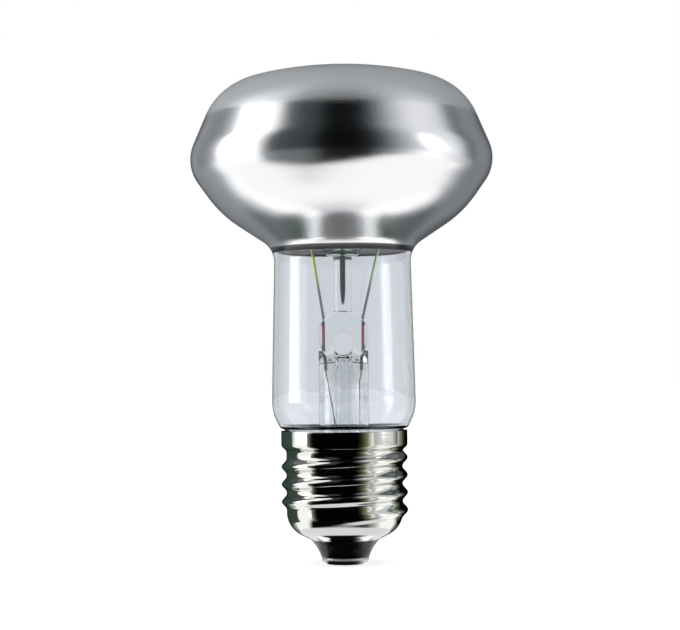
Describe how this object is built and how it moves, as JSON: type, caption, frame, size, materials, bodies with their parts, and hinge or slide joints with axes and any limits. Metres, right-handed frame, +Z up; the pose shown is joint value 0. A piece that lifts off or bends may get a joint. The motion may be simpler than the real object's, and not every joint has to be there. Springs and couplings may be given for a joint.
{
  "type": "reflector bulb",
  "caption": "Screw-cap reflector bulb: mirrored bowl with a frosted dome, clear neck showing the glass stem, and a rolled screw shell with a centre contact.",
  "frame": {"origin": "centre of the centre contact's bottom face, at the cap's end", "axes": "+Z runs up the bulb's axis from the contact to the dome; +X and +Y lie across it, with the two leads along X and the side solder towards +Y"},
  "size_m": [0.063, 0.063, 0.1033],
  "materials": {
    "envelope_glass": "clear blown glass, frosted over the dome",
    "mirror_film": "evaporated aluminium, satin seen through the glass",
    "nickel_plate": "bright nickel plate on rolled sheet",
    "black_glass": "glossy black moulded glass",
    "contact_metal": "tinned brass, dull",
    "solder": "dull solder",
    "cement": "matt baked cement",
    "stem_glass": "clear drawn glass",
    "seal_wire": "red copper-clad wire, oxidised",
    "lead_wire": "drawn nickel wire",
    "copper_wire": "bare copper wire",
    "tungsten": "dark grey coiled wire",
    "support_metal": "drawn wire"
  },
  "bodies": {
    "root": {"glass_bulb": "envelope_glass", "reflector_coating": "mirror_film", "cap_shell": "nickel_plate", "cap_insulator": "black_glass", "centre_contact": "contact_metal", "centre_solder": "solder", "side_solder": "solder", "basing_cement": "cement", "stem_flare": "stem_glass", "exhaust_tube": "stem_glass", "arbor_rod": "stem_glass", "dumet_seal_left": "seal_wire", "dumet_seal_right": "seal_wire", "inner_lead_left": "lead_wire", "inner_lead_right": "lead_wire", "outer_lead_centre": "copper_wire", "outer_lead_side": "copper_wire", "filament": "tungsten", "support_wire_1": "support_metal", "support_wire_2": "support_metal", "support_wire_3": "support_metal"}
  },
  "joints": []
}
